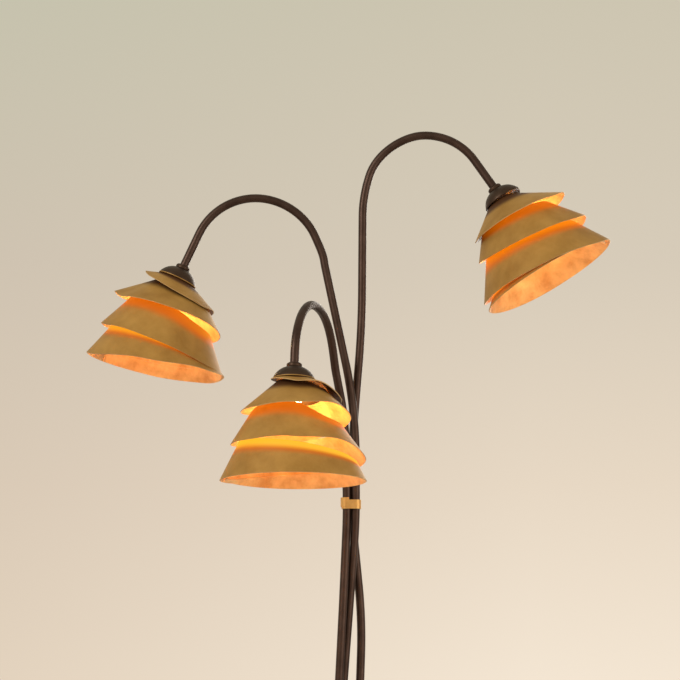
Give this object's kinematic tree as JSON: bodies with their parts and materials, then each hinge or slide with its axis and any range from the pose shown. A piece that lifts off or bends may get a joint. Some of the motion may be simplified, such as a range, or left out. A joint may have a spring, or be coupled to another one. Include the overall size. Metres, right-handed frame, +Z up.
{
  "type": "tree floor lamp",
  "caption": "Floor lamp: bent dark tubes bound by a gilt band rise from a round foot and hook over to gold-leaf spiral shades with pull-out bulbs.",
  "frame": {"origin": "centre of the foot on the floor", "axes": "+Z up; -Y towards the viewer of the picture; +X to the viewer's right"},
  "size_m": [0.7561, 0.4544, 1.8106],
  "materials": {
    "dark_metal": "dark brown bronze paint, satin",
    "gold_leaf": "gold leaf on steel strip, matt outside, bright orange gold inside",
    "band_gold": "gilt, satin",
    "cast_iron": "dark brown paint on cast iron",
    "steel": "plain steel",
    "zinc": "threaded brass",
    "ceramic": "unglazed white",
    "bulb_glass": "lit capsule",
    "flex": "PVC",
    "felt": "black felt",
    "black_plastic": "moulded"
  },
  "bodies": {
    "root": {"arm_left": "dark_metal", "flex_left": "flex", "dome_cap_left": "dark_metal", "spiral_shade_left": "gold_leaf", "lampholder_left": "ceramic", "arm_right": "dark_metal", "flex_right": "flex", "dome_cap_right": "dark_metal", "spiral_shade_right": "gold_leaf", "lampholder_right": "ceramic", "arm_front": "dark_metal", "flex_front": "flex", "dome_cap_front": "dark_metal", "spiral_shade_front": "gold_leaf", "lampholder_front": "ceramic", "collars": "dark_metal", "nipples": "zinc", "spacers": "steel", "locknuts": "steel", "stem_band": "band_gold", "foot_weight": "cast_iron", "foot_rings": "dark_metal", "foot_nuts": "steel", "bottom_plate": "steel", "plate_screws": "steel", "foot_pad": "felt", "connector_block": "black_plastic", "inlet_bush": "black_plastic"},
    "bulb_left_body": {"bulb_left": "bulb_glass", "bulb_pins_left": "steel"},
    "bulb_right_body": {"bulb_right": "bulb_glass", "bulb_pins_right": "steel"},
    "bulb_front_body": {"bulb_front": "bulb_glass", "bulb_pins_front": "steel"}
  },
  "joints": [
    {"name": "bulb_left_pull", "type": "slide", "parent": "root", "child": "bulb_left_body", "axis": [-0.4147, 0, -0.91], "range_m": [0, 0.017]},
    {"name": "bulb_right_pull", "type": "slide", "parent": "root", "child": "bulb_right_body", "axis": [0.5561, -0.0585, -0.829], "range_m": [0, 0.017]},
    {"name": "bulb_front_pull", "type": "slide", "parent": "root", "child": "bulb_front_body", "axis": [-0.0256, -0.0833, -0.9962], "range_m": [0, 0.017]}
  ]
}
